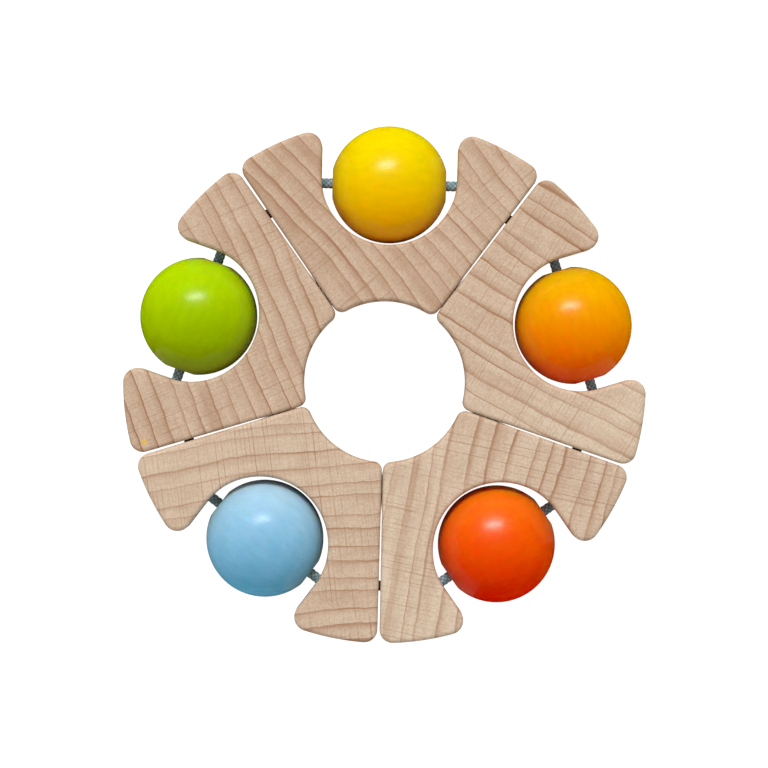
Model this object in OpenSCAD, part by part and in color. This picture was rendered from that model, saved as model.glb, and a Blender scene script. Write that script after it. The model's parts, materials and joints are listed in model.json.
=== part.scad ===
// Clutching rattle wheel: five wooden segments and five wooden balls threaded on one elastic cord.
// The wheel lies in the XY plane, with its axis on Z and its origin at the middle of the open centre.
// +Y points to the top place, and the other places follow clockwise. All sizes are millimetres.

/* [Wheel] */
// Outer radius of the wheel
outer_r = 55.5; // [53:0.5:60]
// Radius of the open centre
inner_r = 17.2; // [12:0.2:20]
// Thickness of the wooden segments
thickness = 14; // [11:0.5:20]
// Gap between neighbouring segments at the open centre
seam_gap_inner = 0.06; // [0.04:0.02:0.5]
// Gap between neighbouring segments at the rim
seam_gap_outer = 0.5; // [0.1:0.05:1]

/* [Rounding] */
// Rounding of the edges around both faces of a segment
edge_round = 0.9; // [0.3:0.1:1.7]
// Corner radius where a notch meets the rim
tip_round = 3; // [2:0.1:4.5]
// Corner radius where a seam meets the rim
rim_corner_round = 2.8; // [2:0.1:5]
// Corner radius where a seam meets the open centre
centre_corner_round = 2; // [1.8:0.1:4]

/* [Balls] */
// Diameter of a ball
ball_d = 25; // [20:0.5:27]
// Distance from the wheel's centre to the centre of each ball
ball_ring_r = 42; // [40:0.5:44]
// Depth of the flat around each end of a ball's bore
ball_flat = 0.4; // [0.2:0.1:1]
// Gap between a ball and each side wall of its notch
ball_side_gap = 2; // [1:0.1:3]
// Gap between a ball and the bottom of its notch
ball_under_gap = 0.4; // [0.3:0.1:2]
// Clearance around the cord in the bore of a ball
ball_bore_clear = 0.3; // [0.1:0.05:0.6]

/* [Cord] */
// Diameter of the elastic cord
cord_d = 2.2; // [1.6:0.1:3]
// Clearance around the cord in the bores of a segment
cord_hole_clear = 0.4; // [0.2:0.05:0.8]
// Distance from a notch wall to the cord's turn inside the segment
cord_turn_depth = 1.8; // [1.2:0.1:3]
// Radius of the cord's centre line in its turns
cord_turn_r = 2.5; // [2:0.1:4]
// Diameter of the knot that closes the cord
knot_d = 4.8; // [4:0.1:6]
// Length of the knot
knot_length = 5; // [4:0.1:6]
// Clearance around the knot in its pocket
knot_clear = 0.5; // [0.3:0.1:1]

/* [Hidden] */
$fn = 64;

// Places around the wheel, clockwise, and the one whose segment hides the knot
PLACES = ["top", "upper_right", "lower_right", "lower_left", "upper_left"];
knot_place = "top";
places = len(PLACES);
sector = 360 / places;
half_sector = sector / 2;

// Seam faces: the gap widens from the centre to the rim, so each face leans a little inside its half sector
seam_taper = atan((seam_gap_outer - seam_gap_inner) / 2 / (outer_r - inner_r));
seam_angle = half_sector - seam_taper;
seam_offset = inner_r * sin(seam_taper) - seam_gap_inner / 2 * cos(seam_taper);

// Notch: a half round under the ball, with straight walls up to the rim
notch_r = ball_d / 2 + ball_side_gap;
notch_y = ball_ring_r - ball_d / 2 - ball_under_gap + notch_r;

// Skin of a segment: steps of its arcs and of its edge rounding, and the wood left for the centre cut
inner_steps = 5;
corner_steps = 6;
rim_steps = 4;
tip_steps = 7;
notch_steps = 12;
edge_steps = 3;
bore_skin = 0.02;
cut_past = 1;

// Cord route: straight through a ball, a turn in the shoulder of the segment, straight across the seam
cord_r = cord_d / 2;
cord_sides = 10;
cord_turn_steps = 4;
knot_steps = 8;
notch_wall_x = sqrt(pow(notch_r, 2) - pow(max(notch_y - ball_ring_r, 0), 2));
cord_turn_x = notch_wall_x + cord_turn_depth;
cord_seam_r = cord_turn_x * sin(half_sector) + ball_ring_r * cos(half_sector);
cord_turn_to_seam = ball_ring_r * sin(half_sector) - cord_turn_x * cos(half_sector);
cord_straight_x = cord_turn_x - cord_turn_r * tan(half_sector / 2);

// Bores and the pocket of the knot
cord_hole_r = cord_r + cord_hole_clear;
cord_hole_overrun = cord_hole_r / 2;
ball_bore_r = cord_r + ball_bore_clear;
ball_length = ball_d - 2 * ball_flat;
pocket_r = knot_d / 2 + knot_clear;
pocket_depth = knot_length + 2 * knot_clear;

// Colours
beech = [0.82, 0.71, 0.60];
yellow = [0.95, 0.76, 0.04];
orange = [0.92, 0.53, 0.05];
red = [0.89, 0.31, 0.08];
blue = [0.50, 0.69, 0.80];
green = [0.60, 0.71, 0.04];
cord_grey = [0.36, 0.45, 0.50];

// Centre of a corner circle that touches the right seam face and lies at centre_r from the wheel's centre
function seam_corner(centre_r, corner_r) =
    let (off = seam_offset - corner_r)
    let (along = sqrt(pow(centre_r, 2) - pow(off, 2)))
    [off * cos(seam_angle) + along * sin(seam_angle), along * cos(seam_angle) - off * sin(seam_angle)];

function heading(point) = atan2(point[1], point[0]);

// Points of an arc of the outline, numbered first to last out of its steps.
// side is 1 where the wood is inside the circle and -1 where it is outside.
function arc_points(centre, radius, from, to, steps, first, last, side, inset) =
    [for (i = [first:last])
        let (a = from + (to - from) * i / steps)
        centre + (radius - side * inset) * [cos(a), sin(a)]];

// Right half of a segment's outline, from the middle of the inner arc to the middle of the notch
function half_outline(inset) =
    let (skin_r = inner_r - bore_skin)
    let (inner_corner = seam_corner(skin_r + centre_corner_round, centre_corner_round))
    let (inner_end = heading(inner_corner))
    let (outer_corner = seam_corner(outer_r - rim_corner_round, rim_corner_round))
    let (rim_start = heading(outer_corner))
    let (tip_x = notch_r + tip_round)
    let (tip = [tip_x, sqrt(pow(outer_r - tip_round, 2) - pow(tip_x, 2))])
    let (rim_end = heading(tip))
    concat(
        arc_points([0, 0], skin_r, 90, inner_end, inner_steps, 0, inner_steps - 1, -1, inset),
        arc_points(inner_corner, centre_corner_round, inner_end - 180, -seam_angle,
            corner_steps, 0, corner_steps, 1, inset),
        arc_points(outer_corner, rim_corner_round, -seam_angle, rim_start,
            corner_steps, 0, corner_steps, 1, inset),
        arc_points([0, 0], outer_r, rim_start, rim_end, rim_steps, 1, rim_steps - 1, 1, inset),
        arc_points(tip, tip_round, rim_end, 180, tip_steps, 0, tip_steps, 1, inset),
        arc_points([0, notch_y], notch_r, 0, -90, notch_steps, 0, notch_steps, -1, inset)
    );

// Places in that half outline, counted in points
seam_start = inner_steps + corner_steps;
seam_end = seam_start + 1;
rim_middle = seam_end + corner_steps + floor(rim_steps / 2);
notch_middle = seam_end + corner_steps + rim_steps + tip_steps + notch_steps + 1;
notch_shoulder = notch_middle - floor(notch_steps / 2);
outline_points = 2 * notch_middle;

// Whole outline, counter-clockwise: the right half, then the mirror image of its points off the middle line
function outline(inset) =
    let (right = half_outline(inset))
    concat(right, [for (i = [notch_middle - 1:-1:1]) [-right[i][0], right[i][1]]]);

// Triangles between two rows of points that run side by side, with row a on the right of row b
function strip_faces(a, b) =
    let (a_steps = len(a) - 1, b_steps = len(b) - 1)
    concat(
        [for (i = [0:1:a_steps - 1]) [a[i], a[i + 1], b[ceil((i + 0.5) / a_steps * b_steps - 0.5)]]],
        [for (j = [0:1:b_steps - 1]) [a[floor((j + 0.5) / b_steps * a_steps + 0.5)], b[j + 1], b[j]]]
    );

// Triangles that fill the outline: strips between the notch and the other sides, and their mirror image
function outline_faces() =
    let (right = concat(
        strip_faces([for (i = [0:seam_start]) i], [for (i = [notch_middle:-1:notch_shoulder]) i]),
        [[seam_start, seam_end, notch_shoulder]],
        strip_faces([for (i = [seam_end:rim_middle]) i], [for (i = [notch_shoulder:-1:rim_middle + 1]) i])
    ))
    concat(right, [for (f = right) [for (i = [2, 1, 0]) (outline_points - f[i]) % outline_points]]);

// Faces between the rings of a stack that have the same number of points each
function side_faces(rings, count, closed) =
    [for (r = [0:rings - (closed ? 1 : 2)], i = [0:count - 1])
        let (low = r * count, high = (r + 1) % rings * count, next = (i + 1) % count)
        each [[low + i, high + i, high + next], [low + i, high + next, low + next]]];

// Solid of a segment before drilling: outlines stacked through the thickness, drawn in at both faces
module segment_blank() {
    quarter = [for (i = [0:edge_steps]) 90 * i / edge_steps];
    lower = [for (a = quarter) [edge_round * (1 - sin(a)), edge_round * (1 - cos(a)) - thickness / 2]];
    upper = [for (i = [edge_steps:-1:0]) [lower[i][0], -lower[i][1]]];
    levels = concat(lower, upper);
    points = [for (level = levels) each [for (p = outline(level[0])) [p[0], p[1], level[1]]]];
    bottom = outline_faces();
    lid_start = (len(levels) - 1) * outline_points;
    lid = [for (f = bottom) [for (i = [2, 1, 0]) lid_start + f[i]]];
    polyhedron(points = points, faces = concat(bottom, side_faces(len(levels), outline_points, false), lid));
}

// Lays a cylinder's axis along the cord where it crosses the right seam, starting at the cord's turn
module along_seam_bore() {
    translate([cord_turn_x, ball_ring_r, 0]) rotate([0, 90, -half_sector]) children();
}

// Bore of the cord on the right of a segment: in from the notch, then across to the seam face
module cord_bore() {
    translate([ball_d / 2, ball_ring_r, 0]) rotate([0, 90, 0])
        cylinder(r = cord_hole_r, h = cord_turn_x - ball_d / 2 + cord_hole_overrun);
    along_seam_bore() translate([0, 0, -cord_hole_overrun])
        cylinder(r = cord_hole_r, h = cord_turn_to_seam + cord_hole_overrun + cut_past);
}

// Pocket in the right seam face that hides the knot
module knot_pocket() {
    along_seam_bore() translate([0, 0, cord_turn_to_seam - pocket_depth])
        cylinder(r = pocket_r, h = pocket_depth + cut_past);
}

module segment(with_pocket) {
    difference() {
        segment_blank();
        cylinder(r = inner_r, h = thickness + 2 * cut_past, center = true);
        cord_bore();
        mirror([1, 0, 0]) cord_bore();
        if (with_pocket) knot_pocket();
    }
}

// Ball with flat ends, bored along the cord
module ball() {
    translate([0, ball_ring_r, 0]) rotate([0, 90, 0])
        difference() {
            sphere(d = ball_d);
            for (end = [0, 180])
                rotate([0, end, 0]) translate([0, 0, ball_length / 2])
                    cylinder(d = ball_d, h = ball_d);
            cylinder(r = ball_bore_r, h = ball_d + 2 * cut_past, center = true);
        }
}

// A station of the cord is its point, its heading and its radius
function turned(point, angle) =
    [point[0] * cos(angle) - point[1] * sin(angle), point[0] * sin(angle) + point[1] * cos(angle)];

function turn_stations(centre_x, from, to) =
    [for (i = [0:cord_turn_steps])
        let (a = from + (to - from) * i / cord_turn_steps)
        [[centre_x, ball_ring_r - cord_turn_r] + cord_turn_r * [-sin(a), cos(a)], a, cord_r]];

// The knot is a barrel on the cord, just inside the right seam face of the top segment
function knot_stations() =
    [for (i = [0:knot_steps])
        let (share = i / knot_steps)
        let (from_seam = knot_clear + knot_length * (1 - share))
        let (swell = sqrt(1 - pow(2 * share - 1, 2)))
        let (seam = cord_seam_r * [sin(half_sector), cos(half_sector)])
        [seam - from_seam * [cos(half_sector), -sin(half_sector)], -half_sector,
            cord_r + (knot_d / 2 - cord_r) * swell]];

function place_stations(place) =
    concat(
        turn_stations(-cord_straight_x, half_sector, 0),
        turn_stations(cord_straight_x, 0, -half_sector),
        PLACES[place] == knot_place ? knot_stations() : []
    );

module cord_loop() {
    stations = [for (place = [0:places - 1], s = place_stations(place))
        [turned(s[0], -sector * place), s[1] - sector * place, s[2]]];
    points = [for (s = stations, i = [0:cord_sides - 1])
        let (across = s[2] * cos(360 * i / cord_sides))
        [s[0][0] - across * sin(s[1]), s[0][1] + across * cos(s[1]), s[2] * sin(360 * i / cord_sides)]];
    polyhedron(points = points, faces = side_faces(len(stations), cord_sides, true));
}

module at_place(name) {
    place = search([name], PLACES)[0];
    rotate([0, 0, -sector * place]) children();
}

module segment_at(name) {
    color(beech) at_place(name) segment(with_pocket = name == knot_place);
}

module segment_top() { segment_at("top"); }
module segment_upper_right() { segment_at("upper_right"); }
module segment_lower_right() { segment_at("lower_right"); }
module segment_lower_left() { segment_at("lower_left"); }
module segment_upper_left() { segment_at("upper_left"); }
module ball_yellow() { color(yellow) at_place("top") ball(); }
module ball_orange() { color(orange) at_place("upper_right") ball(); }
module ball_red() { color(red) at_place("lower_right") ball(); }
module ball_blue() { color(blue) at_place("lower_left") ball(); }
module ball_green() { color(green) at_place("upper_left") ball(); }
module elastic_cord() { color(cord_grey) cord_loop(); }

segment_top();
segment_upper_right();
segment_lower_right();
segment_lower_left();
segment_upper_left();
ball_yellow();
ball_orange();
ball_red();
ball_blue();
ball_green();
elastic_cord();
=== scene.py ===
"""Dresses a clutching rattle wheel: five beech segments, five painted balls and one braided elastic cord.

Lengths are metres and angles radians. The wheel lies in the XY plane with its axis on Z. The first place is
at +Y, and the others follow clockwise. Shapes are worked out at the first place and turned to their own.
As arguments, s, b and c are the settings of the segments, the balls and the cord.
"""

import json
import math
from typing import NamedTuple

import bmesh
import bpy
import numpy as np
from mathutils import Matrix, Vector


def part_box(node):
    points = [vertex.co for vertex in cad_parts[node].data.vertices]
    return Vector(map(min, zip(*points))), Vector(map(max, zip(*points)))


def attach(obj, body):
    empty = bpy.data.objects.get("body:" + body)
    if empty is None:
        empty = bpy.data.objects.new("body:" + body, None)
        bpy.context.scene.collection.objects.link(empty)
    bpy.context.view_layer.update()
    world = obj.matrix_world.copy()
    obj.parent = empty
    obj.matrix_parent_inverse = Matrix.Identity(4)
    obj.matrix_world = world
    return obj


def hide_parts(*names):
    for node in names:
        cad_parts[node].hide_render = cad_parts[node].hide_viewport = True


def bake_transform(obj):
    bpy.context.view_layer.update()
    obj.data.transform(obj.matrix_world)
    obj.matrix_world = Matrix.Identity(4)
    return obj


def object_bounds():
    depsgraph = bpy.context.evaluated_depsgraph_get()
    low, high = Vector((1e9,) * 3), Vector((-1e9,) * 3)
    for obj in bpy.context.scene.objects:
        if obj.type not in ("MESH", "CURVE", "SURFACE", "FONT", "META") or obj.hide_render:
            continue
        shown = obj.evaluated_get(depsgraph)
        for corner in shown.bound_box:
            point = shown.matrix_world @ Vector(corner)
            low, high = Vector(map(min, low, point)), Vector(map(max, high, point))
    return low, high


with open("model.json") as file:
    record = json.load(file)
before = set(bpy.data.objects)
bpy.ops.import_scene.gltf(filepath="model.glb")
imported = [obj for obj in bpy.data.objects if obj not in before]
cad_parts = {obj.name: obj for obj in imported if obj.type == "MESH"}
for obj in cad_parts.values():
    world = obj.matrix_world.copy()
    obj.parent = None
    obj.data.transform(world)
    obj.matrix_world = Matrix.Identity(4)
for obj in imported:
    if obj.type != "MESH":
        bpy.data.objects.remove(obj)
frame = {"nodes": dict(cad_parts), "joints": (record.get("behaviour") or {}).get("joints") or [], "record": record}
CAD_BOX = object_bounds()

bl_info = {
    "name": "Rattle wheel",
    "version": (1, 0, 0),
    "blender": (4, 5, 0),
    "location": "View3D > Sidebar > Rattle wheel",
    "description": "Beech segments, painted balls and braided elastic for the packed rattle wheel",
    "category": "Mesh",
}

PLACES = ("top", "upper_right", "lower_right", "lower_left", "upper_left")
BALLS = ("yellow", "orange", "red", "blue", "green")
SECTOR = 2 * math.pi / len(PLACES)
HALF_SECTOR = SECTOR / 2
MM = 0.001
WELD = 1e-6
WHITE = (1.0, 1.0, 1.0, 1.0)
BLACK = (0.0, 0.0, 0.0, 1.0)
Z_AXIS = np.array((0.0, 0.0, 1.0))


def mesh_points(mesh):
    """Points of a mesh, one row each."""
    points = np.empty(3 * len(mesh.vertices))
    mesh.vertices.foreach_get("co", points)
    return points.reshape(-1, 3)


# Sizes that the frame gives
CENTRE_HOLE = next(m for m in frame["record"]["mounts"] if m["name"] == "centre_hole")
FIRST_SPIN = next(j for j in frame["joints"] if j["name"] == "yellow_spin")
TOP_POINTS = mesh_points(frame["nodes"]["segment_top"].data)
WHEEL_RADIUS = float(np.linalg.norm(TOP_POINTS[:, :2], axis=1).max())
SEGMENT_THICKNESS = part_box("segment_top")[1].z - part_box("segment_top")[0].z
BALL_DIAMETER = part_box("ball_yellow")[1].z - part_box("ball_yellow")[0].z
BALL_RING_RADIUS = math.hypot(*FIRST_SPIN["pos_m"])
FLOOR_HEIGHT = CAD_BOX[0].z


def display_colour(red, green, blue):
    """A colour as a screen shows it, 0 to 255, in the linear values that shaders use."""
    share = np.array((red, green, blue)) / 255
    linear = np.where(share <= 0.04045, share / 12.92, ((share + 0.055) / 1.055) ** 2.4)
    return tuple(float(x) for x in linear)


def length(name, description, default, least=0.0):
    """A length that a user may change."""
    return bpy.props.FloatProperty(
        name=name, description=description, default=default, min=least, unit="LENGTH", precision=5
    )


def colour(name, description, *display):
    """A colour that a user may change, given as a screen shows it."""
    return bpy.props.FloatVectorProperty(
        name=name, description=description, default=display_colour(*display),
        size=3, min=0.0, max=1.0, subtype="COLOR",
    )


def factor(name, description, default):
    """A plain number that a user may change."""
    return bpy.props.FloatProperty(name=name, description=description, default=default, min=0.0)


class SegmentSettings(bpy.types.PropertyGroup):
    """Sizes and colours of the five beech segments."""

    outer_radius: length("Outer radius", "Radius of the wheel's rim", WHEEL_RADIUS)
    inner_radius: length("Inner radius", "Radius of the open centre", CENTRE_HOLE["dims"]["r_mm"] * MM)
    thickness: length("Thickness", "Thickness of a segment", SEGMENT_THICKNESS)
    edge_round: length("Edge rounding", "Rounding of the edges around both faces", 0.9 * MM)
    tip_round: length("Tip rounding", "Corner radius where a notch meets the rim", 3 * MM)
    rim_corner: length("Rim corner", "Corner radius where a seam meets the rim", 2.8 * MM)
    centre_corner: length("Centre corner", "Corner radius where a seam meets the open centre", 2 * MM)
    seam_gap_inner: length("Inner seam gap", "Gap between neighbours at the open centre", 0.15 * MM)
    seam_gap_outer: length("Outer seam gap", "Gap between neighbours at the rim", 0.5 * MM)
    seam_touch: length("Seam touch", "Gap where neighbours press together near the centre", 0.01 * MM)
    pad_height: length("Pad height", "Height of the pad on which neighbours press together", 5 * MM)
    pad_reach: length("Pad reach", "Distance from the wheel's axis to the pad's end", 26 * MM)
    pad_ease: length("Pad ease", "Distance over which the pad rises", 2 * MM)
    ball_side_gap: length("Ball side gap", "Gap between a ball and each wall of its notch", 2 * MM)
    ball_under_gap: length("Ball under gap", "Gap between a ball and the bottom of its notch", 0.4 * MM)
    pale: colour("Pale wood", "Colour of the early wood", 217, 197, 174)
    cool: colour("Cool wood", "Colour of the greyer patches", 203, 188, 164)
    band: colour("Band", "Colour of the late wood", 187, 157, 130)
    line: colour("Ring line", "Colour of the line that ends a growth ring", 152, 107, 75)
    fleck: colour("Fleck", "Colour of the fleck of paint on one segment", 222, 178, 60)


class BallSettings(bpy.types.PropertyGroup):
    """Sizes and colours of the five painted balls."""

    diameter: length("Diameter", "Diameter of a ball", BALL_DIAMETER)
    ring_radius: length("Ring radius", "Distance from the wheel's axis to a ball", BALL_RING_RADIUS)
    flat_depth: length("Flat depth", "Depth of the flat around each end of the bore", 0.4 * MM)
    flat_round: length("Flat rounding", "Rounding between a flat and the ball", 0.5 * MM)
    bore_clearance: length("Bore clearance", "Clearance around the cord in the bore", 0.3 * MM)
    bore_round: length("Bore rounding", "Rounding of the bore's ends", 0.3 * MM)
    yellow: colour("Yellow", "Paint of the top ball", 220, 205, 0)
    orange: colour("Orange", "Paint of the upper right ball", 221, 180, 0)
    red: colour("Red", "Paint of the lower right ball", 236, 123, 0)
    blue: colour("Blue", "Paint of the lower left ball", 184, 210, 228)
    green: colour("Green", "Paint of the upper left ball", 174, 210, 0)
    # These colours give deeper paint in the grain and clouds, and also painted shade, with its warmer hue, on the
    # lower side of each ball
    yellow_deep_and_shaded: colour("Thick yellow", "Yellow paint where it ran thick", 255, 173, 0)
    orange_deep_and_shaded: colour("Thick orange", "Orange paint where it ran thick", 250, 82, 0)
    red_deep_and_shaded: colour("Thick red", "Red paint where it ran thick", 235, 31, 0)
    blue_deep_and_shaded: colour("Thick blue", "Blue paint where it ran thick", 101, 178, 210)
    green_deep_and_shaded: colour("Thick green", "Green paint where it ran thick", 151, 172, 0)
    paint_depth: length("Paint depth", "How far light spreads in the stained wood", 8 * MM)


class CordSettings(bpy.types.PropertyGroup):
    """Sizes and colours of the elastic cord."""

    diameter: length("Diameter", "Diameter of the cord", 2.2 * MM)
    hole_clearance: length("Hole clearance", "Clearance around the cord in a segment", 0.4 * MM)
    turn_depth: length("Turn depth", "Distance from a notch wall to the cord's turn", 1.8 * MM)
    turn_radius: length("Turn radius", "Radius of the cord's centre line in its turns", 2.5 * MM)
    strand_pitch: length("Strand pitch", "Length of cord in which a strand goes round once", 6 * MM)
    strand_depth: length("Strand depth", "Depth of the grooves between strands", 0.12 * MM)
    knot_diameter: length("Knot diameter", "Diameter of the knot", 4.8 * MM)
    knot_length: length("Knot length", "Length of the knot", 5 * MM)
    knot_clearance: length("Knot clearance", "Clearance around the knot in its pocket", 0.5 * MM)
    slate: colour("Slate", "Colour of most strands", 180, 198, 204)
    teal: colour("Teal", "Colour of the tinted strands", 130, 172, 180)
    # Painted shade in the grooves between the strands
    groove_shade: colour("Groove", "Colour between the strands", 80, 92, 98)


class StageSettings(bpy.types.PropertyGroup):
    """Camera, light and floor."""

    camera_distance: length("Camera distance", "Distance from the camera to the wheel", 1.2)
    picture_width: length("Picture width", "Width of the view at the wheel's middle", 163.85 * MM)
    wheel_right: length("Wheel right", "How far right of the middle the wheel lies", 0.11 * MM, least=-1.0)
    wheel_up: length("Wheel up", "How far above the middle the wheel lies", 0.485 * MM, least=-1.0)
    roll: bpy.props.FloatProperty(
        name="Roll", description="Turn of the camera about its line of sight",
        default=math.radians(1.4), unit="ROTATION",
    )
    floor: colour("Floor", "Colour of the floor", 110, 110, 110)
    floor_glow: factor("Floor glow", "Light that the floor gives by itself", 1.0)
    sky: factor("Sky", "Strength of the even light from all around", 0.55)
    key_power: factor("Key power", "Watts of the large light at the picture's top", 48.5)


class RattleWheelSettings(bpy.types.PropertyGroup):
    """All settings of the rattle wheel."""

    segments: bpy.props.PointerProperty(type=SegmentSettings)
    balls: bpy.props.PointerProperty(type=BallSettings)
    cord: bpy.props.PointerProperty(type=CordSettings)
    stage: bpy.props.PointerProperty(type=StageSettings)


# Meshes from grids

def at_place(points, place):
    """Points turned clockwise about the wheel's axis from the first place to another."""
    turn = -SECTOR * place
    cos, sin = math.cos(turn), math.sin(turn)
    return points @ np.array(((cos, sin, 0), (-sin, cos, 0), (0, 0, 1)))


def at_height(flat, height):
    """Points of a plane at a height along Z, which may differ from row to row."""
    return np.concatenate((flat, np.broadcast_to(height, (*flat.shape[:-1], 1))), axis=-1)


def directions(angles):
    """Unit vectors of a plane at angles, one row each."""
    return np.stack((np.cos(angles), np.sin(angles)), axis=1)


def unit_rows(rows):
    """Rows of vectors, each made 1 long."""
    return rows / np.linalg.norm(rows, axis=1)[:, None]


def distances(points):
    """Distance of each point from the first, along the line through all of them."""
    return np.concatenate(((0,), np.cumsum(np.linalg.norm(np.diff(points, axis=0), axis=1))))


def turn_to_place(mesh, place):
    """Turns a mesh from the first place to its own."""
    mesh.vertices.foreach_set("co", at_place(mesh_points(mesh), place).ravel())
    mesh.update()


def grid_patch(points, wrap_rows=False, wrap_columns=False):
    """A grid of points with its quads, as the pair that build_mesh takes.

    A wrapped direction joins its last line to its first.
    """
    rows, columns = points.shape[:2]
    shape = (rows if wrap_rows else rows - 1, columns if wrap_columns else columns - 1)
    row, column = (x.ravel() for x in np.indices(shape))
    next_row, next_column = (row + 1) % rows, (column + 1) % columns
    corners = ((row, column), (row, next_column), (next_row, next_column), (next_row, column))
    return points.reshape(-1, 3), np.stack([x * columns + y for x, y in corners], axis=1)


def weld(mesh):
    """Joins points of a mesh that lie together, and turns its faces outwards."""
    work = bmesh.new()
    work.from_mesh(mesh)
    bmesh.ops.remove_doubles(work, verts=work.verts, dist=WELD)
    bmesh.ops.recalc_face_normals(work, faces=work.faces)
    work.to_mesh(mesh)
    work.free()


def build_mesh(name, patches, marks=None):
    """One mesh from patches of points and quads, welded where they meet, smooth, and facing outwards.

    marks are named numbers, one for each point, which materials can read as attributes.
    """
    starts = np.cumsum([0] + [len(points) for points, _ in patches[:-1]])
    points = np.concatenate([points for points, _ in patches])
    faces = np.concatenate([quads + start for (_, quads), start in zip(patches, starts)])
    mesh = bpy.data.meshes.new(name)
    mesh.from_pydata(points, [], faces)
    for mark, values in (marks or {}).items():
        attribute = mesh.attributes.new(mark, "FLOAT", "POINT")
        attribute.data.foreach_set("value", values.astype(np.float32).ravel())
    weld(mesh)
    mesh.shade_smooth()
    return mesh


def add_object(name, data):
    """An object with its data, in the scene."""
    made = bpy.data.objects.new(name, data)
    bpy.context.scene.collection.objects.link(made)
    return made


def add_piece(name, mesh, material, node):
    """A piece of the object at the origin, which stands for a CAD node."""
    piece = add_object(name, mesh)
    mesh.materials.append(material)
    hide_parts(node)
    return piece


def bake_modifiers(piece):
    """Gives a piece the mesh that its modifiers make, without the modifiers."""
    graph = bpy.context.evaluated_depsgraph_get()
    made = bpy.data.meshes.new_from_object(piece.evaluated_get(graph))
    old = piece.data
    piece.modifiers.clear()
    piece.data = made
    bpy.data.meshes.remove(old)


# Shader nodes

def add_node(tree, kind, inputs=None, **settings):
    """A shader node with its settings, and with values or other nodes' outputs on its inputs."""
    node = tree.nodes.new("ShaderNode" + kind)
    for name, value in settings.items():
        setattr(node, name, value)
    fill_inputs(tree, node, inputs or {})
    return node


def fill_inputs(tree, node, inputs):
    """Puts values or other nodes' outputs on a node's inputs."""
    for key, value in inputs.items():
        if isinstance(value, bpy.types.NodeSocket):
            tree.links.new(value, node.inputs[key])
        else:
            node.inputs[key].default_value = value


def math_node(tree, operation, *values):
    """Result of a Math node."""
    return add_node(tree, "Math", dict(enumerate(values)), operation=operation).outputs[0]


def product(tree, first, *others):
    """Values multiplied together."""
    for other in others:
        first = math_node(tree, "MULTIPLY", first, other)
    return first


def remap(tree, value, low, high, to_low=0.0, to_high=1.0, smooth=False):
    """Value moved from one range to another and held inside it."""
    inputs = {"Value": value, "From Min": low, "From Max": high, "To Min": to_low, "To Max": to_high}
    kind = "SMOOTHSTEP" if smooth else "LINEAR"
    return add_node(tree, "MapRange", inputs, interpolation_type=kind).outputs[0]


def mix_colours(tree, share, first, second):
    """Two colours mixed by a share, on the Mix node's own sockets for colours."""
    return add_node(tree, "Mix", {0: share, 6: first, 7: second}, data_type="RGBA").outputs[2]


def opaque(rgb):
    """A colour with full alpha, as colour sockets take it."""
    return (*rgb, 1.0)


class Noise(NamedTuple):
    """A noise pattern. Its scale is per millimetre, and a stretch below 1 draws it out along that axis.

    The part of its values that is used is moved to the range that it gives.
    """

    scale: float
    detail: float
    stretch: tuple = (1.0, 1.0, 1.0)
    roughness: float = 0.5
    used: tuple = (0.0, 1.0)
    gives: tuple = (0.0, 1.0)

    def value(self, tree, vector):
        """Value of the pattern at a vector in millimetres."""
        inputs = {0: vector, 1: self.stretch}
        stretched = add_node(tree, "VectorMath", inputs, operation="MULTIPLY").outputs[0]
        inputs = {
            "Vector": stretched, "Scale": self.scale, "Detail": self.detail, "Roughness": self.roughness,
        }
        made = add_node(tree, "TexNoise", inputs).outputs[0]
        return remap(tree, made, *self.used, *self.gives)


# The values between which most of a noise lies
NOISE_SPAN = (0.3, 0.7)

# What the shader node groups put out
SURFACE = {"Color": "Color", "Roughness": "Float", "Height": "Float"}


def new_group(name, inputs):
    """An empty shader node group for a surface, with what its inputs give and its output node."""
    tree = bpy.data.node_groups.new(name, "ShaderNodeTree")
    for direction, sockets in (("INPUT", inputs), ("OUTPUT", SURFACE)):
        for socket, kind in sockets.items():
            tree.interface.new_socket(socket, in_out=direction, socket_type="NodeSocket" + kind)
    return tree, tree.nodes.new("NodeGroupInput").outputs, tree.nodes.new("NodeGroupOutput")


def new_material(name):
    """An empty material with its Principled BSDF, and its tree."""
    material = bpy.data.materials.new(name)
    material.use_nodes = True
    tree = material.node_tree
    tree.nodes.clear()
    shader = tree.nodes.new("ShaderNodeBsdfPrincipled")
    output = tree.nodes.new("ShaderNodeOutputMaterial")
    tree.links.new(shader.outputs[0], output.inputs["Surface"])
    return material, tree, shader


def object_vector(tree, **mapping):
    """Object coordinates in millimetres, moved and turned by a Mapping node."""
    source = tree.nodes.new("ShaderNodeTexCoord").outputs["Object"]
    inputs = {"Vector": source, "Scale": (1 / MM,) * 3}
    return add_node(tree, "Mapping", {**inputs, **mapping}).outputs[0]


def add_bump(tree, shader, height, strength, depth):
    """Fine relief from a height of 0 to 1."""
    inputs = {"Height": height, "Strength": strength, "Distance": depth}
    tree.links.new(add_node(tree, "Bump", inputs).outputs[0], shader.inputs["Normal"])


# Beech segments

INNER_STEPS = 20
CENTRE_CORNER_STEPS = 14
RIM_CORNER_STEPS = 18
HALF_RIM_STEPS = 12
TIP_STEPS = 26
WALL_STEPS = 6
NOTCH_STEPS = 56
SEAM_STEPS = NOTCH_STEPS + WALL_STEPS + TIP_STEPS - (INNER_STEPS + CENTRE_CORNER_STEPS + RIM_CORNER_STEPS)
EDGE_STEPS = 8
FACE_STEPS = 6
BORE_SIDES = 48
BAR_OVERSHOOT = 1 * MM
SHARP_ANGLE = math.radians(35)

# Columns of an outline's rows
POINT = slice(0, 2)
INTO_WOOD = slice(2, 4)
PAD = 4

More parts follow.
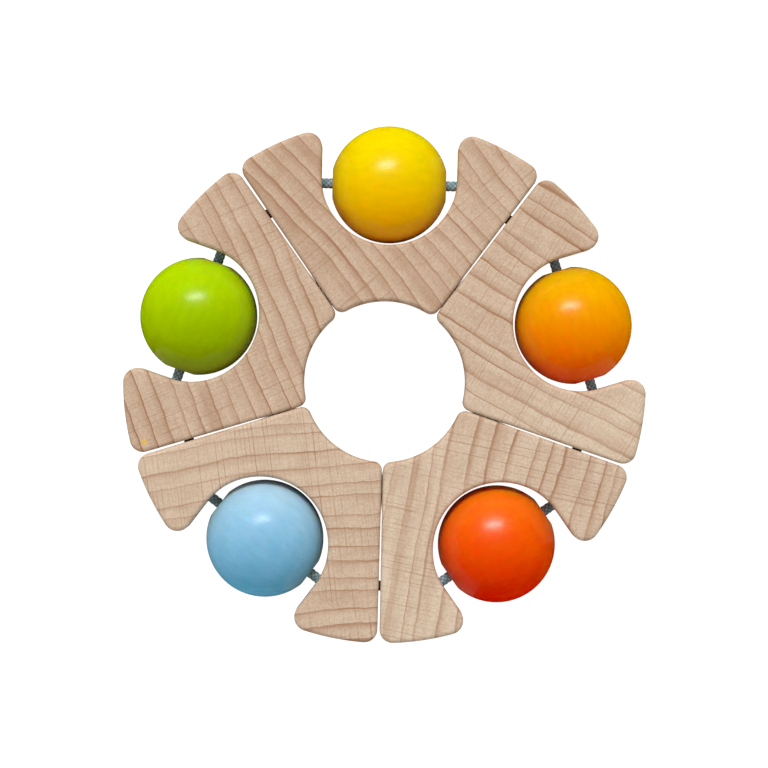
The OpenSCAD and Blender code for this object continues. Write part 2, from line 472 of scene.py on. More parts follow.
# Places and widths on the wood, in millimetres
BOARD_STEP = 90.0
BOARD_MIDDLE = 36.0
ARM_REACH = 25.0
FLECK_PLACE = (-50.6, -14.0, 7.0)
FLECK_RADIUS = 0.9
FLECK_CORE = 0.3 * FLECK_RADIUS
RAY_STEP = 0.9
RAY_WIDTH = 0.17

# Patterns of the wood, stretched along the rings, across them and through the board
RING_WAVE = Noise(0.035, 1.0, (1.0, 1.0, 0.12), gives=(-2.0, 2.0))
RING_RIPPLE = Noise(0.4, 2.0, (1.0, 1.0, 0.12), gives=(-0.3, 0.3))
RING_SPACING = Noise(0.18, 2.0, gives=(-1.0, 1.0))
LINE_FADE = Noise(0.3, 1.0, (0.25, 1.0, 0.1), used=NOISE_SPAN, gives=(0.2, 0.9))
RAY_DRIFT = Noise(0.25, 2.0, (1.0, 0.03, 0.05), gives=(0.0, 4.0))
RAY_BREAKS = Noise(0.6, 1.0, (1.0, 0.25, 0.1), used=(0.33, 0.55))
PORES = Noise(2.6, 3.0, (1.0, 1.0, 0.08), roughness=0.8, used=(0.4, 0.68))
MOTTLE = Noise(0.12, 3.0, (1.0, 1.0, 0.12), used=NOISE_SPAN, gives=(-0.1, 0.25))
STREAKS = Noise(1.1, 2.0, (0.05, 1.0, 0.05), used=NOISE_SPAN, gives=(-0.15, 0.15))
COOL_PATCHES = Noise(0.45, 2.0, (0.5, 1.0, 0.1), used=(0.42, 0.7), gives=(0.0, 0.6))
FLECK_EDGE = Noise(1.2, 2.0, gives=(-0.5, 0.5))

# Parts of a ring over which its closing line rises and falls, and how much of a colour each mark takes
LINE_RISE = (0.84, 0.96)
LINE_FALL = (0.97, 1.0)
BAND_POWER = 2.4
BAND_SHARE = 0.65
RAY_POWER = 2.0
FAINTEST_RAY = 0.2
RAY_SHARE = 0.8
PORE_SHARE = 0.44
FLECK_SHARE = 0.9
WOOD_ROUGHNESS = (0.55, 0.72)
WOOD_SPECULAR = 0.3
WOOD_BUMP = 0.4
WOOD_RELIEF = 0.08 * MM


class Board(NamedTuple):
    """How the wood of one segment was cut: the angle, width and bend of its rings, and its rays.

    The angle is in degrees, widths and radii are millimetres. The depths of its colour and the strengths of
    its rings are for the left and the right arm with the rim up. flecked says whether a fleck of paint was
    left on it.
    """

    ring_angle: float
    ring_width: float
    bend_radius: float
    rays: float
    depths: tuple
    strengths: tuple
    flecked: bool = False


BOARDS = {
    "top": Board(132, 3.4, 400, rays=0.6, depths=(0.6, 0.44), strengths=(1.05, 0.95)),
    "upper_right": Board(43, 4.2, 350, rays=0.8, depths=(0.45, 0.03), strengths=(1.3, 0.7)),
    "lower_right": Board(43, 3.8, 400, rays=1.0, depths=(0.22, 0.02), strengths=(1.05, 0.62)),
    "lower_left": Board(44.5, 3.4, 280, rays=1.1, depths=(0.29, 0.27), strengths=(1.1, 0.62)),
    "upper_left": Board(43, 3.4, 250, rays=0.8, depths=(0.44, 0.46), strengths=(1.35, 0.9), flecked=True),
}


def notch_measures(s, b):
    """Radius of a notch, and the distance from the wheel's axis to the centre of its round."""
    radius = b.diameter / 2 + s.ball_side_gap
    return radius, b.ring_radius - b.diameter / 2 - s.ball_under_gap + radius


def seam_lean(s):
    """Angle of the right seam face from +Y, and its signed distance from the wheel's axis."""
    taper = math.atan((s.seam_gap_outer - s.seam_gap_inner) / 2 / (s.outer_radius - s.inner_radius))
    offset = s.inner_radius * math.sin(taper) - s.seam_gap_inner / 2 * math.cos(taper)
    return HALF_SECTOR - taper, offset


def seam_corner(s, centre_radius, corner_radius):
    """Centre of a corner circle that touches the right seam face, at a distance from the wheel's axis."""
    angle, offset = seam_lean(s)
    off = offset - corner_radius
    along = math.sqrt(centre_radius**2 - off**2)
    cos, sin = math.cos(angle), math.sin(angle)
    return np.array((off * cos + along * sin, along * cos - off * sin))


def arc(centre, radius, start, end, steps, wood_inside=True):
    """Rows of an arc: a point, the unit vector from it into the wood, and the height of a pad, 0.

    A point is the centre plus the radius along its angle.
    """
    out = directions(np.linspace(start, end, steps + 1))
    into_wood = -out if wood_inside else out
    return np.hstack((np.asarray(centre) + radius * out, into_wood, np.zeros((steps + 1, 1))))


def straight(first, last, steps):
    """Rows between two rows of the outline, without these two."""
    share = np.linspace(0, 1, steps + 1)[1:-1, None]
    return first + share * (last - first)


def pad_heights(s, seam):
    """How far a pad stands out from each row of a seam face, where neighbours press together.

    Half of the gap that widens evenly with the radius, less half of the touching gap, eased to nothing.
    """
    radius = np.linalg.norm(seam[:, POINT], axis=1)
    share = (radius - s.inner_radius) / (s.outer_radius - s.inner_radius)
    gap = s.seam_gap_inner + (s.seam_gap_outer - s.seam_gap_inner) * share
    shown = np.clip((s.pad_reach - radius) / s.pad_ease + 1, 0, 1)
    return shown * (gap - s.seam_touch) / 2


def half_outline(s, b):
    """Right half of a segment's outline as two chains of rows that both end at the middle of the rim.

    The first runs along the open centre and the seam, the second along the notch, from its middle to its
    tip. All corners are arcs that touch their neighbours.
    """
    seam_angle, _ = seam_lean(s)
    notch_radius, notch_height = notch_measures(s, b)
    inner = seam_corner(s, s.inner_radius + s.centre_corner, s.centre_corner)
    outer = seam_corner(s, s.outer_radius - s.rim_corner, s.rim_corner)
    inner_end, rim_start = math.atan2(inner[1], inner[0]), math.atan2(outer[1], outer[0])
    tip_x = notch_radius + s.tip_round
    tip = np.array((tip_x, math.sqrt((s.outer_radius - s.tip_round) ** 2 - tip_x**2)))
    rim_end = math.atan2(tip[1], tip[0])
    rim = arc((0, 0), s.outer_radius, rim_start, rim_end, 2 * HALF_RIM_STEPS)
    centre_arc = arc((0, 0), s.inner_radius, math.pi / 2, inner_end, INNER_STEPS, wood_inside=False)
    centre_corner = arc(inner, s.centre_corner, inner_end - math.pi, -seam_angle, CENTRE_CORNER_STEPS)
    rim_corner = arc(outer, s.rim_corner, -seam_angle, rim_start, RIM_CORNER_STEPS)
    notch = arc((0, notch_height), notch_radius, -math.pi / 2, 0, NOTCH_STEPS, wood_inside=False)
    tip_arc = arc(tip, s.tip_round, math.pi, rim_end, TIP_STEPS)
    seam = straight(centre_corner[-1], rim_corner[0], SEAM_STEPS)
    seam[:, PAD] = pad_heights(s, seam)
    wall = straight(notch[-1], tip_arc[0], WALL_STEPS)
    front = np.vstack((centre_arc, centre_corner[1:], seam, rim_corner, rim[1 : HALF_RIM_STEPS + 1]))
    back = np.vstack((notch, wall, tip_arc, rim[::-1][1 : HALF_RIM_STEPS + 1]))
    return front, back


def segment_mesh(name, s, b):
    """Skin of a segment: its outline carried through the thickness, and its two flat faces.

    Each level of the skin is the outline drawn into the wood by r (1 - sin q) at r (1 - cos q) from a
    face, with q from 0 to a quarter turn. At the levels of the pads it stands out by their heights instead.
    A face is the ruled surface between the two chains of a half outline.
    """
    front, back = half_outline(s, b)
    right = np.vstack((front, back[::-1][1:]))
    left = right[::-1][1:-1] * np.array((-1, 1, -1, 1, 1))
    outline = np.vstack((right, left))
    quarter = np.linspace(0, math.pi / 2, EDGE_STEPS + 1)
    pad = s.pad_height / 2
    edge_height = s.thickness / 2 - s.edge_round * (1 - np.cos(quarter))
    inset = np.concatenate((s.edge_round * (1 - np.sin(quarter)), (0, 0)))
    height = np.concatenate((edge_height, (pad + s.pad_ease / 2, pad)))
    padded = np.isclose(height, pad)
    inset, height, padded = (np.concatenate(pair) for pair in (
        (inset, inset[::-1]), (-height, height[::-1]), (padded, padded[::-1])
    ))
    drawn_in = inset[:, None] - padded[:, None] * outline[:, PAD]
    rings = outline[:, POINT] + drawn_in[..., None] * outline[:, INTO_WOOD]
    patches = [grid_patch(at_height(rings, height[:, None, None]), wrap_columns=True)]
    near, far = (chain[:, POINT] + s.edge_round * chain[:, INTO_WOOD] for chain in (front, back))
    share = np.linspace(0, 1, FACE_STEPS + 1)[None, :, None]
    half_face = near[:, None] * (1 - share) + far[:, None] * share
    for side in (1, -1):
        for face in (1, -1):
            flat = half_face * np.array((side, 1))
            patches.append(grid_patch(at_height(flat, face * s.thickness / 2)))
    return build_mesh(name, patches)


def round_bar(start, end, radius):
    """A bar between two points with flat ends: circles about its axis, closed in a point at both ends."""
    axis = (end - start) / np.linalg.norm(end - start)
    across = np.cross(Z_AXIS, axis)
    turn = np.linspace(0, 2 * math.pi, BORE_SIDES, endpoint=False)[:, None]
    circle = np.cos(turn) * across + np.sin(turn) * Z_AXIS
    stations = np.stack((start, start, end, end))[:, None]
    radii = np.array((0, radius, radius, 0))[:, None, None]
    return build_mesh("bar", [grid_patch(stations + radii * circle, wrap_columns=True)])


def drilled_bars(s, b, c, pocket):
    """Bars that drill a segment: for each bore one from the notch and one to the seam, and the pocket's."""
    route = CordRoute(s, b, c)
    radius = c.diameter / 2 + c.hole_clearance
    overrun = radius / 2
    bars = []
    for side in (1, -1):
        mirror = np.array((side, 1, 1))
        turn, across = route.turn * mirror, route.across * mirror
        inwards = np.array((side, 0, 0))
        notch = np.array((side * b.diameter / 2, b.ring_radius, 0))
        bars.append(round_bar(notch, turn + overrun * inwards, radius))
        past_seam = route.seam * mirror + BAR_OVERSHOOT * across
        bars.append(round_bar(turn - overrun * across, past_seam, radius))
    if pocket:
        bottom = route.seam - (c.knot_length + 2 * c.knot_clearance) * route.across
        past_seam = route.seam + BAR_OVERSHOOT * route.across
        bars.append(round_bar(bottom, past_seam, c.knot_diameter / 2 + c.knot_clearance))
    return bars


def drill(piece, bars):
    """Cuts the bars out of a piece, and gives it the normals of its flats and rounds."""
    cutters = [add_object("bar", bar) for bar in bars]
    for cutter in cutters:
        cut = piece.modifiers.new("bore", "BOOLEAN")
        cut.object = cutter
        cut.solver = "EXACT"
    bake_modifiers(piece)
    for cutter, bar in zip(cutters, bars):
        bpy.data.objects.remove(cutter)
        bpy.data.meshes.remove(bar)
    weld(piece.data)
    piece.data.set_sharp_from_angle(angle=SHARP_ANGLE)
    piece.modifiers.new("flat_normals", "WEIGHTED_NORMAL").keep_sharp = True
    bake_modifiers(piece)


def ray_lines(tree, vector, along):
    """Hairlines across the rings, from 0 to 1: one in the middle of each of many uneven steps along them.

    A line has its own strength, and breaks off and starts again.
    """
    count = math_node(tree, "DIVIDE", along, RAY_STEP)
    count = math_node(tree, "ADD", count, RAY_DRIFT.value(tree, vector))
    away = math_node(tree, "ABSOLUTE", math_node(tree, "SUBTRACT", math_node(tree, "FRACT", count), 0.5))
    line = remap(tree, away, 0.0, RAY_WIDTH / RAY_STEP, 1.0, 0.0, smooth=True)
    number = math_node(tree, "FLOOR", count)
    strength = add_node(tree, "TexWhiteNoise", {"W": number}, noise_dimensions="1D").outputs[0]
    strength = remap(tree, math_node(tree, "POWER", strength, RAY_POWER), 0.0, 1.0, FAINTEST_RAY, 1.0)
    return product(tree, line, strength, RAY_BREAKS.value(tree, vector))


def beech_group():
    """Growth rings, rays and pores of beech cut across the grain, from millimetres with X along the rings.

    A ring's place is Y less the fall of a large circle, half the square of X times its bend, with a slow
    wave and a fine ripple. Its share grows from 0 to 1 across a ring, so the wood darkens slowly and ends
    in a sharp line.
    """
    tree, given, made = new_group("beech_grain", {
        "Vector": "Vector", "Ring Width": "Float", "Ring Bend": "Float", "Ring Strength": "Float",
        "Rays": "Float", "Depth": "Float",
        "Pale": "Color", "Cool": "Color", "Band": "Color", "Line": "Color",
    })
    vector, clear = given["Vector"], given["Ring Strength"]
    along, place, _ = add_node(tree, "SeparateXYZ", {0: vector}).outputs
    place = math_node(tree, "SUBTRACT", place, product(tree, along, along, given["Ring Bend"], 0.5))
    for sway in (RING_WAVE, RING_RIPPLE):
        place = math_node(tree, "ADD", place, sway.value(tree, vector))
    uneven = RING_SPACING.value(tree, add_node(tree, "CombineXYZ", {1: place}).outputs[0])
    count = math_node(tree, "SUBTRACT", uneven, math_node(tree, "DIVIDE", place, given["Ring Width"]))
    share = math_node(tree, "FRACT", count)
    rise = remap(tree, share, *LINE_RISE, smooth=True)
    fall = remap(tree, share, *LINE_FALL, 1.0, 0.0, smooth=True)
    line = product(tree, rise, fall, LINE_FADE.value(tree, vector), clear)
    ray = product(tree, ray_lines(tree, vector, along), given["Rays"], RAY_SHARE)
    clear_pore = math_node(tree, "MINIMUM", math_node(tree, "SQRT", clear), 1.0)
    pore = product(tree, PORES.value(tree, vector), clear_pore)
    darker = product(tree, math_node(tree, "POWER", share, BAND_POWER), clear, BAND_SHARE)
    for pattern in (MOTTLE, STREAKS):
        darker = math_node(tree, "ADD", darker, pattern.value(tree, vector))
    tone = mix_colours(tree, COOL_PATCHES.value(tree, vector), given["Pale"], given["Cool"])
    tone = mix_colours(tree, given["Depth"], tone, given["Band"])
    deep_band = mix_colours(tree, given["Depth"], given["Band"], given["Line"])
    tone = mix_colours(tree, darker, tone, deep_band)
    for mark in (line, ray, product(tree, pore, PORE_SHARE)):
        tone = mix_colours(tree, mark, tone, given["Line"])
    fill_inputs(tree, made, {
        "Color": tone,
        "Roughness": remap(tree, pore, 0.0, 1.0, *WOOD_ROUGHNESS),
        "Height": remap(tree, math_node(tree, "MAXIMUM", pore, line), 0.0, 1.0, 1.0, 0.0),
    })
    return tree


def flecked(tree, tone, fleck):
    """Wood colour with a small soft fleck of paint at one place."""
    vector = object_vector(tree)
    inputs = {0: vector, 1: FLECK_PLACE}
    away = add_node(tree, "VectorMath", inputs, operation="DISTANCE").outputs["Value"]
    away = math_node(tree, "ADD", away, FLECK_EDGE.value(tree, vector))
    mask = remap(tree, away, FLECK_CORE, FLECK_RADIUS, FLECK_SHARE, 0.0, smooth=True)
    return mix_colours(tree, mask, tone, opaque(fleck))


def beech_material(place, s, group):
    """Bare sanded beech of one segment, with its own board and ring direction."""
    material, tree, shader = new_material("beech_" + place)
    board, number = BOARDS[place], PLACES.index(place)
    turn, ring_angle = SECTOR * number, math.radians(board.ring_angle)
    vector = object_vector(
        tree,
        Location=(-BOARD_MIDDLE * math.sin(ring_angle), BOARD_STEP * number, 0.0),
        Rotation=(0.0, 0.0, turn - ring_angle),
    )
    own_frame = object_vector(tree, Rotation=(0.0, 0.0, turn))
    across = add_node(tree, "SeparateXYZ", {0: own_frame}).outputs[0]
    inputs = {
        "Vector": vector, "Rays": board.rays,
        "Ring Width": board.ring_width, "Ring Bend": 1 / board.bend_radius,
        "Ring Strength": remap(tree, across, -ARM_REACH, ARM_REACH, *board.strengths),
        "Depth": remap(tree, across, -ARM_REACH, ARM_REACH, *board.depths),
        "Pale": opaque(s.pale), "Cool": opaque(s.cool), "Band": opaque(s.band), "Line": opaque(s.line),
    }
    grain = add_node(tree, "Group", inputs, node_tree=group)
    tone = grain.outputs["Color"]
    if board.flecked:
        tone = flecked(tree, tone, s.fleck)
    fill_inputs(tree, shader, {
        "Base Color": tone, "Roughness": grain.outputs["Roughness"], "Specular IOR Level": WOOD_SPECULAR,
    })
    add_bump(tree, shader, grain.outputs["Height"], WOOD_BUMP, WOOD_RELIEF)
    return material


# Painted balls

BALL_STEPS = 96
BALL_TURNS = 128
BALL_CORNER_STEPS = 6
BALL_BORE_STEPS = 12

# How late the painted shade deepens from the top of a ball to its bottom, as a power, and how hazy its shine is
PAINT_SHADE_POWERS = {"yellow": 2.0, "orange": 1.4, "red": 1.0, "blue": 0.8, "green": 1.2}
PAINT_HAZES = {"red": 0.4}
HAZE_ROUGHNESS = 0.4

# Patterns of the paint, stretched along the bore, and how much deeper paint each mark adds
PAINT_GRAIN = Noise(2.2, 4.0, (0.12, 1.0, 1.0), roughness=0.7)
PAINT_CLOUDS = Noise(0.22, 2.0, used=NOISE_SPAN, gives=(0.01, 0.11))
PAINT_DULLNESS = Noise(0.6, 3.0, (0.35, 1.0, 1.0), roughness=0.6, used=NOISE_SPAN, gives=(0.0, 0.1))
STREAK_SPAN = (0.38, 0.7)
STREAK_COAT = 0.14
# Share of the deep and shaded colour that is painted on as shade at the very bottom of a ball
PAINTED_SHADE_SHARE = 0.9
PAINT_ROUGHNESS = (0.22, 0.28)
PAINT_SPECULAR = 0.2
SPREAD_POWER = 3
PAINT_BUMP = 0.35
PAINT_RELIEF = 0.05 * MM


def ball_profile(b, c):
    """Half of a ball's section as rows of distance along the bore and from it.

    The wall of the bore from its middle, the round of its end, the flat, the round of the flat's rim, and
    the sphere to its widest place.
    """
    radius, bore = b.diameter / 2, c.diameter / 2 + b.bore_clearance
    end = radius - b.flat_depth
    mouth = np.array((end - b.bore_round, bore + b.bore_round))
    rim_along = end - b.flat_round
    rim = np.array((rim_along, math.sqrt((radius - b.flat_round) ** 2 - rim_along**2)))
    meet = math.atan2(rim[1], rim[0])
    wall = np.stack((np.linspace(0, mouth[0], BALL_BORE_STEPS), np.full(BALL_BORE_STEPS, bore)), axis=1)
    turn = np.linspace(-math.pi / 2, 0, BALL_CORNER_STEPS + 1)[1:]
    mouth_round = mouth + b.bore_round * directions(turn)
    rim_round = rim + b.flat_round * directions(np.linspace(0, meet, BALL_CORNER_STEPS + 1))
    sphere = radius * directions(np.linspace(meet, math.pi / 2, BALL_STEPS // 2 + 1)[1:])
    return np.vstack((wall, mouth_round, rim_round, sphere))


def ball_mesh(name, b, c, place):
    """A ball: its section and that section's mirror image, carried round the bore."""
    half = ball_profile(b, c)
    other = half[::-1][1:-1] * np.array((-1, 1))
    section = np.vstack((half, other))
    turn = np.linspace(0, 2 * math.pi, BALL_TURNS, endpoint=False)[:, None]
    along = np.broadcast_to(section[:, 0], (BALL_TURNS, len(section)))
    up, out = section[:, 1] * np.sin(turn), section[:, 1] * np.cos(turn)
    points = np.stack((along, b.ring_radius + out, up), axis=2)
    return build_mesh(name, [grid_patch(at_place(points, place), wrap_rows=True, wrap_columns=True)])


def paint_group():
    """Paint on turned wood, deeper in the grain and in clouds, with painted shade towards the lower side.

    The lower side runs from 0 at a ball's top to 1 at its bottom. The painted shade grows with a power of it,
    and moves the colour towards the deep and shaded paint, darker and warmer. Faint dull patches lie over the
    whole.
    """
    tree, given, made = new_group("painted_wood", {
        "Vector": "Vector", "Painted Shade Down": "Float", "Shade Power": "Float", "Paint": "Color", "Deep And Shaded Paint": "Color",
    })
    vector = given["Vector"]
    grain = PAINT_GRAIN.value(tree, vector)
    streak = remap(tree, grain, *STREAK_SPAN, 0.0, STREAK_COAT)
    paint_and_shade = math_node(tree, "ADD", streak, PAINT_CLOUDS.value(tree, vector))
    # Painted shade: the lower side of the ball is made darker and warmer, as if lit from above
    low = math_node(tree, "POWER", given["Painted Shade Down"], given["Shade Power"])
    paint_and_shade = math_node(tree, "MULTIPLY_ADD", low, PAINTED_SHADE_SHARE, paint_and_shade)
    tone = mix_colours(tree, paint_and_shade, given["Paint"], given["Deep And Shaded Paint"])
    tone = mix_colours(tree, PAINT_DULLNESS.value(tree, vector), tone, BLACK)
    roughness = remap(tree, grain, *NOISE_SPAN, *PAINT_ROUGHNESS)
    fill_inputs(tree, made, {"Color": tone, "Roughness": roughness, "Height": grain})
    return tree


def painted_shade_down(tree, b, place):
    """How far down a point of a ball lies, from 0 at its top to 1 at its bottom, which sets its painted shade.
    Down is -Y.
    """
    height = add_node(tree, "SeparateXYZ", {0: object_vector(tree)}).outputs[1]
    middle = b.ring_radius * math.cos(SECTOR * place) / MM
    radius = b.diameter / 2 / MM
    return remap(tree, height, middle + radius, middle - radius)


def paint_material(name, b, place, group):
    """Semi-gloss paint of one ball, with painted shade on its lower side. Light spreads furthest in it in the
    paint's own strongest colour.
    """
    material, tree, shader = new_material("paint_" + name)
    paint = getattr(b, name)
    inputs = {
        "Vector": object_vector(tree, Rotation=(0.0, 0.0, SECTOR * place)),
        # Painted shade on the ball's lower side
        "Painted Shade Down": painted_shade_down(tree, b, place),
        "Shade Power": PAINT_SHADE_POWERS[name],
        "Paint": opaque(paint),
        "Deep And Shaded Paint": opaque(getattr(b, name + "_deep_and_shaded")),
    }
    paint_and_shade = add_node(tree, "Group", inputs, node_tree=group)
    fill_inputs(tree, shader, {
        "Base Color": paint_and_shade.outputs["Color"],
        "Roughness": paint_and_shade.outputs["Roughness"],
        "Specular IOR Level": PAINT_SPECULAR,
        "Coat Weight": PAINT_HAZES.get(name, 0.0),
        "Coat Roughness": HAZE_ROUGHNESS,
        "Subsurface Weight": 1.0,
        "Subsurface Radius": [x**SPREAD_POWER for x in paint],
        "Subsurface Scale": b.paint_depth,
    })
    add_bump(tree, shader, paint_and_shade.outputs["Height"], PAINT_BUMP, PAINT_RELIEF)
    return material


# Elastic cord

CORD_STRANDS = 6
CORD_SIDES = 48
CORD_STEP = 0.1 * MM
CORD_TURN_STEPS = 24
SEAM_CORD_HALF = 0.3 * MM
SEAM_CORD_STEPS = 12
KNOT_TURNS = 2
KNOT_STEPS = 160
KNOT_CORD_RADIUS = 0.8 * MM

# One strand in this many is tinted in full
TINT_CYCLE = 3
CORD_FUZZ = Noise(7.0, 2.0, roughness=0.6)
FUZZ_SHADE = (0.7, 1.0)
STRAND_RISE = (0.15, 0.8)
CORD_ROUGHNESS = (0.6, 0.8)
CORD_SHEEN = 0.3
CORD_BUMP = 0.4
CORD_RELIEF = 0.05 * MM


class CordRoute:
    """Route of the cord at the first place: through the ball, a turn in the shoulder, across the seam."""

    def __init__(self, s, b, c):
        notch_radius, notch_height = notch_measures(s, b)
        rise = max(notch_height - b.ring_radius, 0)
        turn_x = math.sqrt(notch_radius**2 - rise**2) + c.turn_depth
        cos, sin = math.cos(HALF_SECTOR), math.sin(HALF_SECTOR)
        self.turn = np.array((turn_x, b.ring_radius, 0))
        self.across = np.array((cos, -sin, 0))
        self.seam = self.turn + (b.ring_radius * sin - turn_x * cos) * self.across
        self.turn_radius = c.turn_radius

    def half(self):
        """Points from the ball's middle to just before the seam: a line, an arc and a line."""
        start_x = self.turn[0] - self.turn_radius * math.tan(HALF_SECTOR / 2)
        angles = np.linspace(0, HALF_SECTOR, CORD_TURN_STEPS + 1)
        centre = np.array((start_x, self.turn[1] - self.turn_radius, 0))
        out = np.stack((np.sin(angles), np.cos(angles), np.zeros_like(angles)), axis=1)
        end = self.seam - SEAM_CORD_HALF * self.across
        return np.vstack(((0, self.turn[1], 0), centre + self.turn_radius * out, end))

    def stretch(self):
        """Points from just after the left seam to just before the right one."""
        right = self.half()
        return np.vstack((right[::-1] * np.array((-1, 1, 1)), right[1:]))


def even_points(points, steps):
    """Points at equal steps along a line through points."""
    gone = distances(points)
    wanted = np.linspace(0, gone[-1], steps + 1)
    return np.stack([np.interp(wanted, gone, points[:, k]) for k in range(3)], axis=1)


def braided_mesh(name, path, radius, c, place):
    """A braided cord along a path: circles about the path whose radius swells at each crossing of strands.

    Strands run round both ways. With the turn t and the distance d in pitches, strand numbers are n (t + d)
    and n (t - d), and the swell is the root of the cosines of both, multiplied. A strand's tint is a cosine
    of its number. Both ends close in a point.
    """
    heading = unit_rows(np.gradient(path, axis=0))
    side = unit_rows(np.cross(Z_AXIS, heading))
    up = np.cross(heading, side)
    turn = np.linspace(0, 1, CORD_SIDES, endpoint=False)[None, :]
    pitch = (distances(path) / c.strand_pitch)[:, None]
    first, second = CORD_STRANDS * (turn + pitch), CORD_STRANDS * (turn - pitch)
    swell = np.sqrt(np.abs(np.cos(math.pi * first) * np.cos(math.pi * second)))
    tint = 0.5 + 0.5 * np.cos(2 * math.pi * np.round(first) / TINT_CYCLE)
    radii = radius - c.strand_depth * (1 - swell)
    angle = 2 * math.pi * turn[..., None]
    rings = path[:, None] + radii[..., None] * (np.cos(angle) * side[:, None] + np.sin(angle) * up[:, None])
    ends = [np.broadcast_to(path[k], (1, CORD_SIDES, 3)) for k in (0, -1)]
    points = at_place(np.concatenate((ends[0], rings, ends[1])), place)
    marks = {"swell": swell, "tint": tint}
    marks = {mark: np.concatenate((rows[:1], rows, rows[-1:])) for mark, rows in marks.items()}
    return build_mesh(name, [grid_patch(points, wrap_columns=True)], marks)


def knot_path(route, c):
    """Wraps of the knot: a helix about the cord just inside the right seam of the first place."""
    share = np.linspace(0, 1, KNOT_STEPS + 1)[:, None]
    middle = route.seam - (c.knot_clearance + c.knot_length / 2) * route.across
    spread = c.knot_length - 2 * KNOT_CORD_RADIUS
    side = np.cross(Z_AXIS, route.across)
    angle = 2 * math.pi * KNOT_TURNS * share
    reach = c.knot_diameter / 2 - KNOT_CORD_RADIUS
    around = np.cos(angle) * side + np.sin(angle) * Z_AXIS
    return middle + (share - 0.5) * spread * route.across + reach * around


def cord_material(c):
    """Braided textile: strands in two tints, with painted shade in the grooves between them, and a soft sheen."""
    material, tree, shader = new_material("elastic_cord")
    swell, tint = (
        add_node(tree, "Attribute", attribute_name=mark).outputs["Fac"] for mark in ("swell", "tint")
    )
    fuzz = CORD_FUZZ.value(tree, object_vector(tree))
    shade = remap(tree, fuzz, *NOISE_SPAN, *FUZZ_SHADE)
    # Share of strand colour over the painted groove shade, lowest where the braid dips, with random fuzz
    lift = product(tree, remap(tree, swell, *STRAND_RISE), shade)
    strand = mix_colours(tree, tint, opaque(c.slate), opaque(c.teal))
    fill_inputs(tree, shader, {
        "Base Color": mix_colours(tree, lift, opaque(c.groove_shade), strand),
        "Roughness": remap(tree, fuzz, *NOISE_SPAN, *CORD_ROUGHNESS),
        "Sheen Weight": CORD_SHEEN,
    })
    add_bump(tree, shader, fuzz, CORD_BUMP, CORD_RELIEF)
    return material


# Operators

def settings(context):
    """The four groups of settings."""
    wheel = context.scene.rattle_wheel
    return wheel.segments, wheel.balls, wheel.cord, wheel.stage


class RATTLE_OT_segments(bpy.types.Operator):
    """Make the five drilled beech segments"""

    bl_idname = "rattle_wheel.segments"
    bl_label = "Beech segments"

    def execute(self, context):
        s, b, c, _ = settings(context)
        group = beech_group()
        for number, place in enumerate(PLACES):
            name = "beech_segment_" + place
            material = beech_material(place, s, group)
            piece = add_piece(name, segment_mesh(name, s, b), material, "segment_" + place)
            drill(piece, drilled_bars(s, b, c, pocket=number == 0))
            turn_to_place(piece.data, number)
            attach(piece, place + "_segment")
        return {"FINISHED"}


class RATTLE_OT_balls(bpy.types.Operator):
    """Make the five painted balls"""

    bl_idname = "rattle_wheel.balls"
    bl_label = "Painted balls"

    def execute(self, context):
        _, b, c, _ = settings(context)
        group = paint_group()
        for place, name in enumerate(BALLS):
            material = paint_material(name, b, place, group)
            piece_name = "painted_ball_" + name
            mesh = ball_mesh(piece_name, b, c, place)
            piece = add_piece(piece_name, mesh, material, "ball_" + name)
            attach(piece, name + "_ball")
        return {"FINISHED"}


class RATTLE_OT_cord(bpy.types.Operator):
    """Make the elastic cord, its crossings at the seams and its knot"""

    bl_idname = "rattle_wheel.cord"
    bl_label = "Elastic cord"

    def execute(self, context):
        s, b, c, _ = settings(context)
        route = CordRoute(s, b, c)
        material = cord_material(c)
        radius = c.diameter / 2
        stretch = route.stretch()
        path = even_points(stretch, round(float(distances(stretch)[-1]) / CORD_STEP))

        def cord_piece(name, line, line_radius, place):
            mesh = braided_mesh(name, line, line_radius, c, place)
            return add_piece(name, mesh, material, "elastic_cord")

        for number, place in enumerate(PLACES):
            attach(cord_piece("cord_" + place, path, radius, number), place + "_segment")
            following = PLACES[(number + 1) % len(PLACES)]
            reach = SEAM_CORD_HALF * route.across
            for side, near in ((-1, place), (1, following)):
                ends = np.stack((route.seam + side * reach, route.seam))
                name = f"cord_{place}_to_{following}_{near}"
                piece = cord_piece(name, even_points(ends, SEAM_CORD_STEPS), radius, number)
                if near == "top":
                    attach(piece, "top_segment")
                else:
                    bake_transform(piece)
        knot = cord_piece("cord_knot", knot_path(route, c), KNOT_CORD_RADIUS, 0)
        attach(knot, "top_segment")
        return {"FINISHED"}


class RATTLE_OT_stage(bpy.types.Operator):
    """Make the floor, the lights and the camera"""

    bl_idname = "rattle_wheel.stage"
    bl_label = "Stage"

    def execute(self, context):
        stage = settings(context)[3]
        scene = context.scene
        add_floor(stage)
        add_lights(scene, stage)
        add_camera(scene, stage)
        scene.view_settings.view_transform = "Standard"
        return {"FINISHED"}


# Stage

FLOOR_SIZE = 4.0
FLOOR_GRAIN = Noise(0.02, 2.0)
FLOOR_SHADE = 0.97
FLOOR_ROUGHNESS = 0.9
KEY_PLACE = Vector((-0.24, 1.52, 1.84))
KEY_WIDTH = 1.4
KEY_HEIGHT = 0.42
SENSOR_WIDTH = 36.0


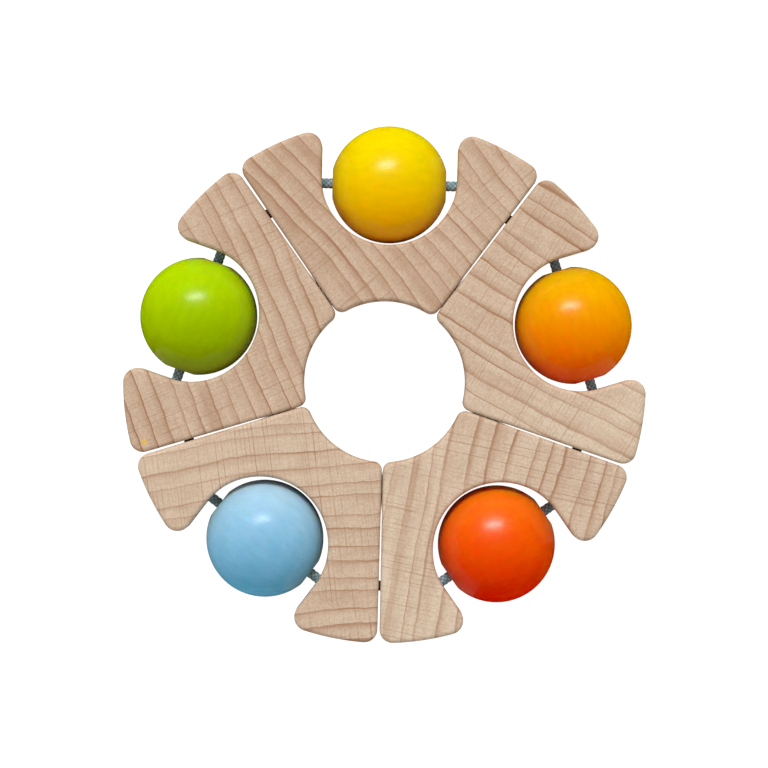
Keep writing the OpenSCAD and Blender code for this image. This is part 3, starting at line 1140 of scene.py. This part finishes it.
def add_floor(stage):
    """Pale matt floor under the balls, which glows evenly as a light table does."""
    half = FLOOR_SIZE / 2
    corners = np.array([[(-half, -half), (half, -half)], [(-half, half), (half, half)]])
    mesh = build_mesh("floor", [grid_patch(at_height(corners, FLOOR_HEIGHT))])
    material, tree, shader = new_material("floor")
    grain = FLOOR_GRAIN.value(tree, object_vector(tree))
    shade = opaque([FLOOR_SHADE * x for x in stage.floor])
    fill_inputs(tree, shader, {
        "Base Color": mix_colours(tree, grain, opaque(stage.floor), shade),
        "Roughness": FLOOR_ROUGHNESS,
        "Emission Color": WHITE,
        "Emission Strength": stage.floor_glow,
    })
    mesh.materials.append(material)
    floor = add_object("floor", mesh)
    floor.visible_glossy = False


def add_lights(scene, stage):
    """Even white light from all around, and a large soft light from the picture's top."""
    world = bpy.data.worlds.new("studio")
    world.use_nodes = True
    background = world.node_tree.nodes["Background"]
    background.inputs["Color"].default_value = WHITE
    background.inputs["Strength"].default_value = stage.sky
    world.cycles_visibility.glossy = False
    scene.world = world
    light = bpy.data.lights.new("key", "AREA")
    light.shape = "ELLIPSE"
    light.size, light.size_y = KEY_WIDTH, KEY_HEIGHT
    light.energy = stage.key_power
    key = add_object("key", light)
    key.location = KEY_PLACE
    key.rotation_euler = (-KEY_PLACE).to_track_quat("-Z", "Y").to_euler()


def add_camera(scene, stage):
    """Camera straight above the wheel, turned and moved so that the wheel lies as in the photograph."""
    lens = bpy.data.cameras.new("camera")
    lens.sensor_width = SENSOR_WIDTH
    lens.lens = SENSOR_WIDTH * stage.camera_distance / stage.picture_width
    camera = add_object("camera", lens)
    cos, sin = math.cos(stage.roll), math.sin(stage.roll)
    right, up = -stage.wheel_right, -stage.wheel_up
    camera.location = (right * cos - up * sin, right * sin + up * cos, stage.camera_distance)
    camera.rotation_euler = (0.0, 0.0, stage.roll)
    scene.camera = camera


# Add-on

class RATTLE_PT_panel(bpy.types.Panel):
    """Settings and steps of the rattle wheel"""

    bl_label = "Rattle wheel"
    bl_idname = "RATTLE_PT_panel"
    bl_space_type = "VIEW_3D"
    bl_region_type = "UI"
    bl_category = "Rattle wheel"

    def draw(self, context):
        wheel = context.scene.rattle_wheel
        for name, step in STEPS.items():
            group = getattr(wheel, name)
            self.layout.operator(step.bl_idname)
            for key in group.bl_rna.properties.keys():
                if key not in ("rna_type", "name"):
                    self.layout.prop(group, key)


STEPS = {
    "segments": RATTLE_OT_segments,
    "balls": RATTLE_OT_balls,
    "cord": RATTLE_OT_cord,
    "stage": RATTLE_OT_stage,
}
CLASSES = (
    SegmentSettings, BallSettings, CordSettings, StageSettings, RattleWheelSettings,
    *STEPS.values(), RATTLE_PT_panel,
)


def register():
    for cls in CLASSES:
        bpy.utils.register_class(cls)
    bpy.types.Scene.rattle_wheel = bpy.props.PointerProperty(type=RattleWheelSettings)


def unregister():
    del bpy.types.Scene.rattle_wheel
    for cls in reversed(CLASSES):
        bpy.utils.unregister_class(cls)


def main():
    """Registers the add-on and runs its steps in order."""
    register()
    bpy.ops.rattle_wheel.segments()
    bpy.ops.rattle_wheel.balls()
    bpy.ops.rattle_wheel.cord()
    bpy.ops.rattle_wheel.stage()


if __name__ == "__main__":
    main()
